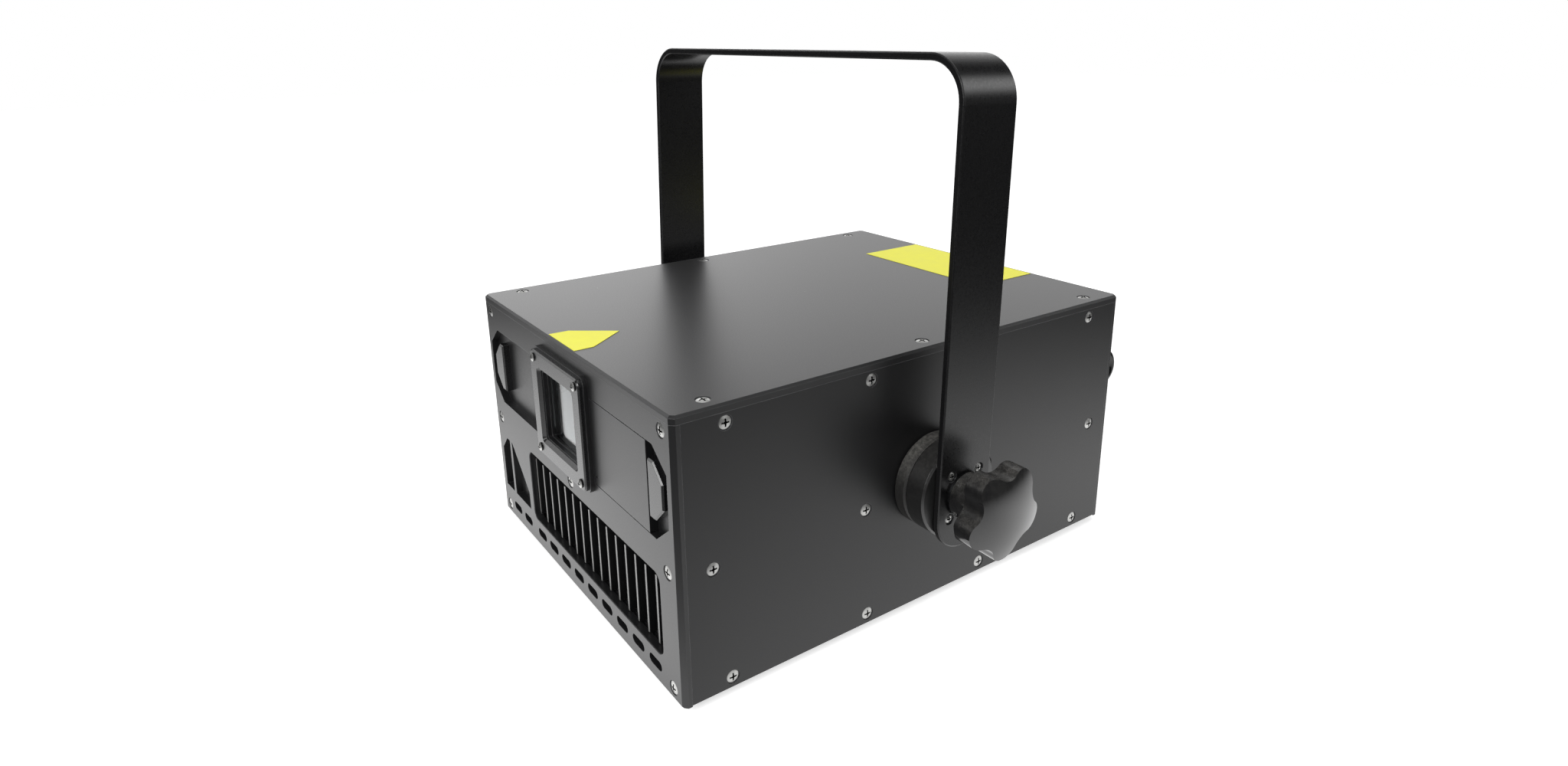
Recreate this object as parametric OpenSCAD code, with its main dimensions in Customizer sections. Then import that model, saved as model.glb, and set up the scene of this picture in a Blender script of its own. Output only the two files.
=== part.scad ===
// Laser show projector: a housing of bolted plates that stands or hangs in a tilting yoke.
// Millimetres. The origin is the centre of the housing's underside, X runs to the right as
// seen from the front, the front faces -Y and Z is up.

/* [Housing] */
// Width across the side panels
body_w = 284; // [270:1:320]
// Depth from front face to rear face
body_d = 364; // [350:1:400]
// Height from underside to lid top
body_h = 175; // [170:1:190]
// Thickness of the front and rear plates
end_t = 5.3; // [4:0.1:6]
// Thickness of the side panels
side_t = 5; // [4:0.1:6]
// Thickness of the lid
lid_t = 5; // [4:0.1:6]
// Thickness of the base plate
base_t = 4; // [3:0.1:5]
// Cut across the housing's upright corners
corner = 2.8; // [1:0.1:4]
// Chamfer round the lid's top
lid_chamfer = 1.4; // [0.5:0.1:2]
// Chamfer along the housing's lowest edges
foot_chamfer = 0.9; // [0.3:0.1:1.5]
// Side of the square frame rails
rail_s = 12; // [11:0.5:14]
// Height of the rubber feet
foot_h = 5; // [4:0.5:8]
// Radius of the rubber feet
foot_r = 9; // [7:0.5:12]
// Distance of the feet's centres from the housing's edges
foot_inset = 32; // [30:1:45]

/* [Panel screws] */
// Radius of the countersunk screw heads
head_r = 4; // [3.5:0.1:4.4]
// Rise of the screw heads' domes
dome_h = 0.8; // [0.3:0.1:1.2]
// Clear ring round each screw head
head_ring = 0.5; // [0.1:0.1:0.8]
// Radius of the screw shanks
shank_r = 2; // [1.5:0.1:2.3]
// Length of the panel screws
screw_l = 12; // [11:0.5:13]
// Height of the lowest screw row
low_row_z = 7.4; // [7:0.1:9]
// Distance of the front and rear screws from the middle
end_screw_x = 130.4; // [130:0.1:131]
// Distance of the lid's outer screws from the housing's ends
lid_inset = 25.5; // [22:0.5:26]
// Distance of the side panels' outer screws from the housing's ends
side_inset = 32; // [28:0.5:38]
// Distance of the middle row's outer screws from the housing's ends
mid_inset = 21.6; // [18:0.1:27]
// Distance of the middle row's inner screws from the middle
mid_inner_y = 52.6; // [46:0.1:60]

/* [Front windows] */
// Distance of the upper windows' outer edge from the middle
pocket_x = 134.7; // [132:0.1:135]
// Distance from the lid down to the middle of the upper windows
pocket_drop = 45.6; // [44:0.1:47]
// Height of the upper windows
pocket_h = 56.4; // [50:0.1:60]
// Width of the upper windows' corner cuts
pocket_cut_x = 15; // [8:0.5:18]
// Height of the upper windows' corner cuts
pocket_cut_z = 12.4; // [8:0.1:15]
// Outer edge of the end blocks from the middle
block_x = 129; // [126:0.5:131]
// Width of the end blocks
block_w = 16.4; // [12:0.1:20]
// Height of the end blocks
block_h = 35.2; // [30:0.1:42]
// Corner cuts of the end blocks
block_cut = 10; // [6:0.5:13]
// Bevel round the end blocks
block_bevel = 1; // [0.4:0.1:2]
// Seam between the cover panel and its neighbours
seam = 0.5; // [0.2:0.05:0.6]
// Left edge of the lower recess pair
recess_x = -133.6; // [-135:0.1:-130]
// Lowest edge of the lower recess pair
recess_z = 23.5; // [22:0.1:26]
// Height of the lower recess pair
recess_h = 42.3; // [38:0.1:46]
// Width of the narrow recess
slim_w = 16.4; // [12:0.1:20]
// Corner cut of the narrow recess
slim_cut = 11; // [6:0.5:13]
// Width of the rib between the two recesses
rib_w = 4; // [3:0.1:6]
// Width of the slanting recess
slant_w = 30; // [24:0.5:32]
// Corner cut of the slanting recess
slant_cut = 29; // [20:0.5:29]

/* [Grille and slots] */
// Left edge of the grille opening
grille_x = -76; // [-77:0.5:-74]
// Width of the grille opening
grille_w = 196; // [190:0.5:198]
// Lowest edge of the grille opening
grille_z = 20.5; // [19:0.1:22]
// Height of the grille opening
grille_h = 53.2; // [48:0.1:54]
// Corner radius of the grille opening
grille_r = 6; // [3:0.5:10]
// Bevel round the grille opening
grille_bevel = 0.4; // [0.2:0.1:2]
// Spacing of the vent slots
slot_pitch = 21.6; // [20:0.1:23]
// Middle of the vent slot furthest to the right
slot_last_x = 109.5; // [106:0.5:111]
// Number of vent slots right of the wide gap
slot_count = 9; // [6:1:9]
// Extra space in the wide gap between the two groups of slots
slot_gap = 6; // [2:0.5:8]
// Length of a vent slot
slot_l = 15.2; // [10:0.1:16]
// Height of a vent slot
slot_h = 6.2; // [4:0.1:7]
// Height of the vent slots' middle
slot_z = 11.5; // [10.5:0.1:12]

/* [Heatsink] */
// Number of fins
fin_count = 15; // [11:1:15]
// Spacing of the fins
fin_pitch = 13; // [10:0.1:13]
// Middle of the fin furthest to the left
fin_first_x = -74.2; // [-75:0.1:-72]
// Thickness of a fin
fin_t = 2.2; // [2:0.1:3.5]
// How far the fins reach into the front plate
fin_reach = 1.2; // [0.4:0.1:2]
// Length of the fins front to back
fin_l = 128; // [100:1:140]
// Lowest edge of the fins
fin_z = 16; // [14:0.5:18]
// Thickness of the heatsink's base
sink_t = 7; // [5:0.5:8]

/* [Aperture] */
// Width of the aperture bezel
bezel_w = 77.4; // [74:0.1:82]
// Height of the aperture bezel
bezel_h = 73.4; // [71:0.1:76]
// Distance from the lid down to the bezel's middle
bezel_drop = 43.5; // [43:0.1:45]
// Thickness of the bezel and of the spacer behind it
bezel_t = 2.8; // [2.2:0.1:3.2]
// Corner radius of the bezel
bezel_r = 5; // [3:0.5:8]
// Width of the bezel's opening
port_w = 57.6; // [54:0.1:60]
// Height of the bezel's opening
port_h = 53.2; // [50:0.1:56]
// Bevel round the bezel's opening
port_bevel = 2.2; // [1:0.1:2.6]
// Step from each layer's opening to the next one behind it
port_step = 0.8; // [0.4:0.1:2]
// Bevel round the bezel's front edge
bezel_bevel = 0.9; // [0.4:0.1:1.5]
// How far the spacer stands out round the bezel
spacer_lip = 1.5; // [1:0.1:2.5]
// Thickness of the backing plate behind the front plate
backing_t = 3; // [2.6:0.1:4]
// Thickness of the aperture glass
glass_t = 2; // [1.5:0.1:2.2]
// Radius of the bezel screw heads
small_head_r = 2.8; // [2.2:0.1:3.2]

/* [Yoke and pivots] */
// Width of the yoke's strap
strap_w = 41.8; // [36:0.2:50]
// Thickness of the yoke's strap
strap_t = 4.4; // [4:0.1:6]
// Chamfer along the strap's edges
strap_edge = 0.6; // [0.3:0.1:1]
// Outer radius of the yoke's bends
bend_r = 27; // [16:1:40]
// Height of the yoke's top when upright
yoke_top = 346; // [335:1:400]
// Lean of the yoke at rest
yoke_lean = 1.4; // [0:0.1:5]
// Height of the pivots
pivot_z = 88; // [86:0.5:96]
// Distance from the pivots down to the centre of the arms' round ends
tail_drop = 14.5; // [10:0.5:20]
// Radius of the pivot discs
disc_r = 30.5; // [28:0.5:36]
// Thickness of the disc on the side panel
disc_t = 9.5; // [8:0.1:12]
// Thickness of the disc on the yoke's arm
arm_disc_t = 15.4; // [12:0.1:20]
// Gap between the two discs
slip_gap = 0.3; // [0.2:0.05:0.6]
// Rounding of the discs' edges
disc_edge = 1.2; // [0.5:0.1:2]
// Radius of the pivot studs
stud_r = 4; // [3:0.25:5]
// Running clearance on the pivot studs
run_gap = 0.05; // [0.02:0.01:0.1]
// Distance of the arm screws from the pivot across the strap
arm_screw_y = 11.4; // [9:0.1:13]
// Distance of the arm screws from the pivot along the strap
arm_screw_z = 14; // [12:0.1:18]
// Radius of the arm screws' heads
arm_head_r = 3.1; // [2.5:0.1:4]
// Radius of the arm screws' shanks
arm_shank_r = 1.6; // [1.2:0.1:2]
// Length of the arm screws
arm_screw_l = 12; // [9:0.5:18]
// Radius of the clamp hole in the yoke's top
clamp_r = 6.5; // [5:0.25:8]
// Radius of the two outer holes in the yoke's top
side_hole_r = 4.25; // [3:0.25:5.5]
// Spacing of the two outer holes in the yoke's top
side_hole_gap = 120; // [80:1:200]

/* [Lock knobs] */
// Radius to the tips of the knob's lobes
knob_r = 29.8; // [26:0.2:36]
// Radius of a lobe's round tip
lobe_r = 9.6; // [7:0.2:12]
// Radius to the bottoms of the hollows between the lobes
hollow_depth_r = 22.2; // [20:0.2:26]
// Turn of the first lobe from the level
lobe_turn = 53; // [0:1:71]
// Thickness of the lobed head at its rim
knob_t = 12.6; // [10:0.2:20]
// Length of the knob's neck
neck_l = 17.4; // [10:0.2:20]
// Radius of the knob's neck at the washer
neck_r = 14.6; // [13:0.2:16]
// Widening of the neck towards the head
neck_flare = 2.4; // [0:0.2:4]
// Overlap that joins the lobes to the hollows
blend = 0.04; // [0.02:0.01:0.1]
// Rise of the knob's rounded face
crown_h = 5.4; // [1:0.2:7]
// Rounding of the knob's front rim
rim_r = 0.8; // [0.4:0.1:2]
// Radius of the lock washers
washer_r = 12.5; // [9:0.5:12.8]
// Thickness of the lock washers
washer_t = 1.6; // [1:0.1:2.5]

/* [Rear panel] */
// Distance of the fans from the middle
fan_x = 62; // [50:1:70]
// Height of the fans' axes
fan_z = 40; // [36:0.5:42]
// Side of a fan's frame
fan_s = 60; // [50:1:62]
// Depth of a fan's frame
fan_d = 25; // [20:1:30]
// Number of blades on a fan
blade_count = 7; // [5:1:9]
// Travel of the menu buttons
button_travel = 0.8; // [0.5:0.1:1.2]
// Radius of the menu buttons
button_r = 3.6; // [3:0.1:4.5]
// Spacing of the menu buttons
button_pitch = 13; // [11:0.5:16]
// Radius of the safety eye's ring to the middle of its bar
eye_r = 11; // [10:0.5:16]
// Radius of the safety eye's bar
eye_bar_r = 4; // [3:0.25:5]
// Distance of the safety eye from the middle
eye_x = 120; // [112:0.5:122]
// Height of the safety eye
eye_z = 109.5; // [105:0.5:115]

/* [Optics] */
// Distance from the upper scanning mirror down to the lower one, where the beams arrive
scan_gap = 22.5; // [20:0.5:24]
// Thickness of the optical bench
bench_t = 10; // [8:0.5:12]
// Height of the bench's middle
bench_z = 80.8; // [80:0.1:82]
// Distance of the scanning mirrors behind the front face
beam_y = 31; // [30:0.5:36]
// Spacing of the laser modules
laser_pitch = 30; // [27:0.5:31]
// Width of a laser module
laser_w = 24; // [20:0.5:25]
// Length of a laser module
laser_l = 84; // [70:1:90]
// Radius of a scanner motor
motor_r = 7; // [5:0.5:8]
// Length of a scanner motor
motor_l = 34; // [28:1:40]

/* [Electronics] */
// Width of the power supply
psu_w = 96; // [80:1:105]
// Length of the power supply
psu_l = 150; // [120:1:160]
// Height of the power supply
psu_h = 40; // [30:1:44]
// Width of the control board
board_w = 76; // [60:1:86]
// Length of the control board
board_l = 128; // [100:1:140]
// Height of the control board's pillars
pillar_h = 8; // [5:0.5:12]

/* [Hidden] */
$fn = 64;

// The housing's planes
half_w = body_w / 2;
front_y = -body_d / 2;
rear_y = body_d / 2;
lid_z = body_h - lid_t;
inner_x = half_w - side_t;
inner_y = rear_y - end_t;
cut = 1;            // how far a cutter passes a face
thread_gap = 0.05;  // between a screw and its hole
sunk = 0.5;         // how far the rim of a panel screw's head lies below its face
arm_sunk = 0.9;     // the same for the arm screws
play = 0.3;         // clearance behind a button's flange

// The rows of panel screws: [place, turn], each shank running down before it is turned
top_row_z = lid_z - rail_s / 2;
rail_x = inner_x - rail_s / 2;
thirds = [-1, -1 / 3, 1 / 3, 1];
row_y = thirds * (rear_y - side_inset);
mid_y = [mid_inset - rear_y, -mid_inner_y, mid_inner_y, rear_y - mid_inset];
lid_y = [-1, 0, 1] * (rear_y - lid_inset);
lid_screws = [for (x = [-rail_x, rail_x], y = lid_y) [[x, y, body_h], [0, 0, 0]]];
end_rows = [low_row_z, bench_z, top_row_z];
front_screws = [for (x = [-end_screw_x, end_screw_x], z = end_rows) [[x, front_y, z], [90, 0, 0]]];
middle_screw = [[[0, front_y, bench_z], [90, 0, 0]]];
rear_screws = [for (x = [-end_screw_x, end_screw_x], z = end_rows) [[x, rear_y, z], [-90, 0, 0]]];
function side_screws(s) = concat(
  [for (y = row_y, z = [low_row_z, top_row_z]) [[s * half_w, y, z], [0, s * 90, 0]]],
  [for (y = mid_y) [[s * half_w, y, bench_z], [0, s * 90, 0]]]);
all_screws = concat(lid_screws, front_screws, middle_screw, rear_screws, side_screws(-1), side_screws(1));

// The plates behind the front face
backing_y = front_y + end_t;
bench_y = backing_y + backing_t;
bench_low = bench_z - bench_t / 2;
bench_top = bench_z + bench_t / 2;
bench_l = body_d - 2 * end_t - backing_t - 8;

// The windows, and the bezel's layers from the front back
pocket_z = lid_z - pocket_drop;
bezel_z = lid_z - bezel_drop;
window_x = bezel_w / 2 + 0.8;
bezel_y = front_y - 2 * bezel_t;
bezel_screw_x = bezel_w / 2 - 6.2;
bezel_screw_z = bezel_h / 2 - 5;
throat_w = port_w - 2 * port_bevel;
throat_h = port_h - 2 * port_bevel;
pane_w = throat_w - 2 * port_step;
pane_h = throat_h - 2 * port_step;
light_w = pane_w - 2 * port_step;
light_h = pane_h - 2 * port_step;

// The pivot stack, outwards from the side panel
disc_face = half_w + disc_t;
arm_in = disc_face + slip_gap + arm_disc_t;
arm_out = arm_in + strap_t;
washer_x = arm_out + 0.1;
knob_x = washer_x + washer_t + 0.1;
stud_l = knob_x + 10 - inner_x;
clinch_r = stud_r + 2.5;
clinch_t = 2;

// The rear sockets: places in X and Z on the rear plate, in two rows above the bench
low_z = bench_z + 27.2;
high_z = bench_z + 61.2;
inlet_at = [-98, bench_z + 41.2];
dmx_in_at = [-46, low_z];
dmx_out_at = [-10, low_z];
ilda_at = [-28, high_z];
display_at = [52, high_z];
button_z = low_z + 8;
key_at = [96, high_z];
fan_hole_r = fan_s / 2 - 2;

// The board, and the beam's path
board_t = 1.6;
mirror_y = front_y + beam_y;
first_laser_x = 48;
beam_z = bezel_z - scan_gap;

// 2-D and 3-D helpers

// A rectangle with round corners, centred
module round_rect(w, h, r) {
  square([w - 2 * r, h], center = true);
  square([w, h - 2 * r], center = true);
  for (sx = [-1, 1], sy = [-1, 1]) translate([sx * (w / 2 - r), sy * (h / 2 - r)]) circle(r);
}

// A slot with round ends, centred, along X
module slot_2d(l, h) {
  square([l - h, h], center = true);
  for (s = [-1, 1]) translate([s * (l - h) / 2, 0]) circle(h / 2);
}

// A slab whose round rectangle grows by b over its height b
module flare(w, h, r, b) {
  for (sx = [-1, 1], sy = [-1, 1])
    translate([sx * (w / 2 - r), sy * (h / 2 - r), 0]) cylinder(r1 = r, r2 = r + b, h = b);
  rotate([90, 0, 0]) linear_extrude(h - 2 * r, center = true)
    polygon([[-w / 2, 0], [w / 2, 0], [w / 2 + b, b], [-w / 2 - b, b]]);
  rotate([90, 0, 90]) linear_extrude(w - 2 * r, center = true)
    polygon([[-h / 2, 0], [h / 2, 0], [h / 2 + b, b], [-h / 2 - b, b]]);
}

// A 2-D shape in X and Z made solid from y to y + t
module wall(y, t) {
  translate([0, y + t, 0]) rotate([90, 0, 0]) linear_extrude(t) children();
}

// A cylinder along Y from y to y + l
module y_rod(y, l, r) {
  translate([0, y, 0]) rotate([-90, 0, 0]) cylinder(r = r, h = l);
}

// A cylinder along X from x to x + l
module x_rod(x, l, r) {
  translate([x, 0, 0]) rotate([0, 90, 0]) cylinder(r = r, h = l);
}

module at_screws(places) {
  for (p = places) translate(p[0]) rotate(p[1]) children();
}

// A dome of radius r and height h that stands on Z = 0
module dome(r, h) {
  ball_r = (r * r + h * h) / (2 * h);
  intersection() {
    translate([0, 0, h - ball_r]) sphere(ball_r);
    cylinder(r = r, h = h);
  }
}

// The cross recess of a screw head of radius r whose top is at Z = h
module cross_recess(r, h) {
  for (a = [0, 90]) rotate(a) translate([0, 0, h]) cube([1.2 * r, 0.24 * r, 0.9 * r], center = true);
  translate([0, 0, h]) cylinder(r1 = 0.16 * r, r2 = 0.34 * r, h = 0.9 * r, center = true);
}

// A raised countersunk screw with a cross recess, the rim of its head at a depth below Z = 0
module flush_screw(head, shank, l, depth) {
  cone_h = head - shank + 0.2;
  translate([0, 0, -depth]) difference() {
    union() {
      translate([0, 0, -cone_h]) cylinder(r1 = shank, r2 = head, h = cone_h);
      translate([0, 0, -l]) cylinder(r = shank, h = l - cone_h);
      dome(head, dome_h);
    }
    cross_recess(head, dome_h);
  }
}

// The hole that such a screw fits: it seats on the cone, and a clear ring shows round its rim
module flush_hole(head, shank, l, depth) {
  cone_h = head - shank + 0.2;
  translate([0, 0, -cone_h - depth])
    cylinder(r1 = shank + thread_gap, r2 = head + thread_gap, h = cone_h);
  translate([0, 0, -depth]) cylinder(r = head + head_ring, h = depth + cut);
  translate([0, 0, -l - 1]) cylinder(r = shank + thread_gap, h = l + 1 - cone_h - depth);
}

module panel_screw() flush_screw(head_r, shank_r, screw_l, sunk);

module screw_hole() flush_hole(head_r, shank_r, screw_l, sunk);

// A pan-head screw with a cross recess, whose head stands on Z = 0
module pan_screw(r, l, head) {
  difference() {
    union() {
      translate([0, 0, -l]) cylinder(r = r, h = l);
      cylinder(r = head, h = 0.3 * head);
      translate([0, 0, 0.3 * head]) dome(head, 0.35 * head);
    }
    cross_recess(head, 0.65 * head);
  }
}

// The outline of an upper front window, from the middle out to pocket_x
module pocket_2d(from_x) {
  polygon([[from_x, pocket_z - pocket_h / 2], [pocket_x - pocket_cut_x, pocket_z - pocket_h / 2],
    [pocket_x, pocket_z - pocket_h / 2 + pocket_cut_z], [pocket_x, pocket_z + pocket_h / 2 - pocket_cut_z],
    [pocket_x - pocket_cut_x, pocket_z + pocket_h / 2], [from_x, pocket_z + pocket_h / 2]]);
}

// A bar that cuts a chamfer of width b along an edge on the Y axis
module edge_cutter(l, b) {
  rotate([0, 45, 0]) cube([b * sqrt(2), l, b * sqrt(2)], center = true);
}

// Housing frame

module base_plate() color("#2b2b2d") {
  difference() {
    translate([-inner_x, -inner_y, 0]) cube([2 * inner_x, 2 * inner_y, base_t]);
    for (x = [-1, 1], y = [-1, 1])
      translate([x * (half_w - foot_inset), y * (rear_y - foot_inset), -cut])
        cylinder(r = 2, h = base_t + 2 * cut);
    for (x = [-60, 0, 60], y = [-40 : 16 : 120])
      translate([x, y, -cut]) linear_extrude(base_t + 2 * cut) slot_2d(36, 4);
  }
}

// One pair of square bars along the housing's lower or upper edges
module rail_pair(z) {
  for (s = [-1, 1]) difference() {
    translate([s * rail_x - rail_s / 2, -inner_y, z]) cube([rail_s, 2 * inner_y, rail_s]);
    at_screws(concat(lid_screws, front_screws, rear_screws, side_screws(s))) screw_hole();
  }
}

module lower_rails() color("#8d9094") rail_pair(base_t);

module upper_rails() color("#8d9094") rail_pair(lid_z - rail_s);

module side_panel(s) {
  difference() {
    translate([s * (inner_x + side_t / 2), 0, lid_z / 2]) cube([side_t, 2 * inner_y, lid_z], center = true);
    translate([s * half_w, 0, 0]) edge_cutter(2 * rear_y, foot_chamfer);
    at_screws(side_screws(s)) screw_hole();
    at_studs() {
      x_rod(inner_x - cut, side_t + 2 * cut, stud_r + run_gap);
      x_rod(inner_x - cut, clinch_t + cut, clinch_r + thread_gap);
    }
  }
}

module side_panel_left() color("#303033") side_panel(-1);

module side_panel_right() color("#303033") side_panel(1);

module lid() color("#5a5a5c") {
  x = half_w - corner;
  y = rear_y - corner;
  difference() {
    rotate([-90, 0, 0]) bevelled([[half_w, -y], [half_w, y], [x, rear_y], [-x, rear_y], [-half_w, y],
      [-half_w, -y], [-x, -rear_y], [x, -rear_y]], -body_h, lid_t, lid_chamfer);
    at_screws(lid_screws) screw_hole();
  }
}

module rubber_feet() color("#151515") {
  for (x = [-1, 1], y = [-1, 1]) translate([x * (half_w - foot_inset), y * (rear_y - foot_inset), 0]) {
    translate([0, 0, -foot_h]) cylinder(r1 = foot_r - 1, r2 = foot_r, h = foot_h);
    cylinder(r = 2, h = base_t);
  }
}

module panel_screws() color("silver") at_screws(all_screws) panel_screw();

// Front

// The front plate's blank: its upright corners are cut off and its lowest edge is chamfered
module end_blank() {
  difference() {
    linear_extrude(lid_z) polygon([[-half_w, front_y + end_t], [half_w, front_y + end_t],
      [half_w, front_y + corner], [half_w - corner, front_y], [-half_w + corner, front_y],
      [-half_w, front_y + corner]]);
    translate([0, front_y, 0]) rotate(90) edge_cutter(2 * body_w, foot_chamfer);
  }
}

module recess_pair_2d() {
  slant_x = recess_x + slim_w + rib_w;
  polygon([[recess_x, recess_z], [recess_x + slim_w, recess_z], [recess_x + slim_w, recess_z + recess_h],
    [recess_x + slim_cut, recess_z + recess_h], [recess_x, recess_z + recess_h - slim_cut]]);
  translate([slant_x, recess_z]) polygon([[0, 0], [slant_w, 0], [slant_w, recess_h - slant_cut],
    [slant_w - slant_cut, recess_h], [0, recess_h]]);
}

module vent_slots_2d() {
  for (i = [0 : slot_count - 1]) translate([slot_last_x - i * slot_pitch, slot_z]) slot_2d(slot_l, slot_h);
  for (i = [0, 1]) translate([slot_last_x - (slot_count + i) * slot_pitch - slot_gap, slot_z])
    slot_2d(slot_l, slot_h);
}

grille_mid = [grille_x + grille_w / 2, grille_z + grille_h / 2];

module front_plate() color("#3a3a3d") {
  difference() {
    end_blank();
    wall(front_y - cut, end_t + 2 * cut) {
      pocket_2d(window_x);
      mirror([1, 0]) pocket_2d(window_x);
      recess_pair_2d();
      vent_slots_2d();
      translate(grille_mid) round_rect(grille_w, grille_h, grille_r);
      translate([0, bezel_z]) round_rect(light_w, light_h, 2);
    }
    translate([grille_mid[0], front_y + grille_bevel, grille_mid[1]]) rotate([90, 0, 0])
      flare(grille_w, grille_h, grille_r, grille_bevel);
    at_screws(concat(front_screws, middle_screw)) screw_hole();
    at_bezel_screws() y_rod(front_y - cut, 4, 1.5 + thread_gap);
  }
}

module front_backing() color("#29292b") {
  bottom = base_t + rail_s + seam;
  top = lid_z - rail_s - seam;
  difference() {
    wall(backing_y, backing_t) difference() {
      translate([-inner_x + seam, bottom]) square([2 * (inner_x - seam), top - bottom]);
      translate([grille_mid[0], grille_mid[1]]) round_rect(grille_w + 3, grille_h + 3, grille_r);
      translate([0, bezel_z]) round_rect(light_w, light_h, 2);
    }
    translate([0, 0, bezel_z]) wall(backing_y - cut, glass_t + cut) square([pane_w, pane_h], center = true);
    at_screws(concat(front_screws, middle_screw)) screw_hole();
  }
}

// A plate in X and Z from y to y + t whose front edges are cut back by b; the points are convex
module bevelled(points, y, t, b) {
  count = len(points);
  difference() {
    wall(y, t) polygon(points);
    for (i = [0 : count - 1]) let (p = points[i], q = points[(i + 1) % count] - p)
      translate([p[0], y, p[1]]) rotate([0, -atan2(q[1], q[0]), 0]) rotate([45, 0, 0])
        cube([2 * norm(q) + 2 * t, b * sqrt(2), b * sqrt(2)], center = true);
  }
}

// A half-octagon block that fills the outer end of an upper window
module end_block() {
  inner_edge = block_x - block_w;
  foot_z = pocket_z - block_h / 2;
  head_z = pocket_z + block_h / 2;
  bevelled([[inner_edge, foot_z], [block_x - block_cut, foot_z], [block_x, foot_z + block_cut],
    [block_x, head_z - block_cut], [block_x - block_cut, head_z], [inner_edge, head_z]],
    front_y, end_t, block_bevel);
}

module end_block_left() color("#454548") mirror([1, 0, 0]) end_block();

module end_block_right() color("#454548") end_block();

module cover_panel() color("#3d3d40") {
  left = window_x + seam;
  right = block_x - block_w - seam;
  difference() {
    translate([0, 0, pocket_z]) wall(front_y, end_t)
      translate([left, -pocket_h / 2 + seam]) square([right - left, pocket_h - 2 * seam]);
    translate([left + 4, 0, bezel_z - bezel_h / 3]) y_rod(front_y - cut, 3, 1);
  }
}

module at_bezel_screws() {
  for (x = [-1, 1], z = [-1, 1]) translate([x * bezel_screw_x, 0, bezel_z + z * bezel_screw_z]) children();
}

module aperture_spacer() color("#2d2d30") {
  difference() {
    translate([0, 0, bezel_z]) wall(front_y - bezel_t, bezel_t) difference() {
      round_rect(bezel_w + 2 * spacer_lip, bezel_h + 2 * spacer_lip, bezel_r + spacer_lip);
      round_rect(pane_w, pane_h, 2);
    }
    at_bezel_screws() y_rod(front_y - bezel_t - cut, bezel_t + 2 * cut, 1.5 + thread_gap);
  }
}

module aperture_bezel() color("#4a4a4d") {
  difference() {
    translate([0, 0, bezel_z]) {
      wall(bezel_y + bezel_bevel, bezel_t - bezel_bevel) round_rect(bezel_w, bezel_h, bezel_r);
      translate([0, bezel_y, 0]) rotate([-90, 0, 0])
        flare(bezel_w - 2 * bezel_bevel, bezel_h - 2 * bezel_bevel, bezel_r - bezel_bevel, bezel_bevel);
    }
    translate([0, 0, bezel_z]) {
      wall(bezel_y - cut, bezel_t + 2 * cut) round_rect(throat_w, throat_h, 1.4);
      translate([0, bezel_y + port_bevel, 0]) rotate([90, 0, 0]) flare(throat_w, throat_h, 1.4, port_bevel);
    }
    at_bezel_screws() y_rod(bezel_y - cut, bezel_t + 2 * cut, 1.5 + thread_gap);
  }
}

module aperture_glass() color("#a8c4d0", 0.4) {
  translate([0, 0, bezel_z]) wall(backing_y, glass_t) square([pane_w - 0.4, pane_h - 0.4], center = true);
}

module bezel_screws() color("silver") {
  at_bezel_screws() translate([0, bezel_y, 0]) rotate([90, 0, 0])
    pan_screw(1.5, 2 * bezel_t + 2.6, small_head_r);
}

// Optics and electronics

module optical_bench() color("#7d8084") {
  difference() {
    translate([-inner_x, bench_y, bench_low]) cube([2 * inner_x, bench_l, bench_t]);
    at_screws(concat(front_screws, middle_screw, side_screws(-1), side_screws(1))) screw_hole();
    for (x = [-100, 100], y = [40, 90]) translate([x, y, bench_low - cut])
      cylinder(r = 9, h = bench_t + 2 * cut);
  }
}

module heatsink() color("#b9bcc0") {
  fins_y = backing_y - fin_reach;
  base_y = fins_y + 7;
  base_z = bench_low - sink_t;
  difference() {
    union() {
      translate([fin_first_x - 4, base_y, base_z])
        cube([(fin_count - 1) * fin_pitch + 8, fin_l - 7, sink_t]);
      for (i = [0 : fin_count - 1]) translate([fin_first_x + i * fin_pitch - fin_t / 2, 0, 0])
        rotate([90, 0, 90]) linear_extrude(fin_t) polygon([[fins_y, fin_z], [fins_y + fin_l, fin_z],
          [fins_y + fin_l, base_z], [base_y, base_z], [base_y - 1, base_z - 2.5], [fins_y, base_z - 2.5]]);
    }
    wall(fins_y - cut, fin_reach + backing_t + 0.5 + cut) translate(grille_mid) difference() {
      square([grille_w + 20, grille_h + 20], center = true);
      round_rect(grille_w - 1, grille_h - 1.6, grille_r);
    }
  }
}

// A laser module on the bench, its lens towards the front
module laser_module(i) {
  x = first_laser_x + i * laser_pitch;
  y = mirror_y + 26;
  difference() {
    union() {
      translate([x - laser_w / 2, y, bench_top]) cube([laser_w, laser_l, 2 * (beam_z - bench_top) - 6]);
      for (k = [0 : 7]) translate([x - laser_w / 2 + 2, y + 12 + k * 8, 2 * beam_z - bench_top - 6])
        cube([laser_w - 4, 3, 6]);
      translate([x, 0, beam_z]) y_rod(y - 8, 8, 6);
    }
    translate([x, 0, beam_z]) y_rod(y - 8 - cut, 6, 3.5);
  }
}

module laser_blue() color("#2f4e9e") laser_module(0);

module laser_green() color("#3f8a4a") laser_module(1);

module laser_red() color("#a33a34") laser_module(2);

module at_combiners() {
  for (i = [0 : 2]) translate([first_laser_x + i * laser_pitch, mirror_y, 0]) children();
}

module combiner_mounts() color("#9a9da1") at_combiners() {
  translate([-9, -9, bench_top]) cube([18, 18, 4]);
  rotate(45) translate([-8, 1, bench_top + 4]) cube([16, 5, 8]);
}

module combiner_optics() color("#8fb7c9", 0.6) at_combiners() {
  rotate(45) translate([-7, -1, bench_top + 4]) cube([14, 2, 22]);
}

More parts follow.
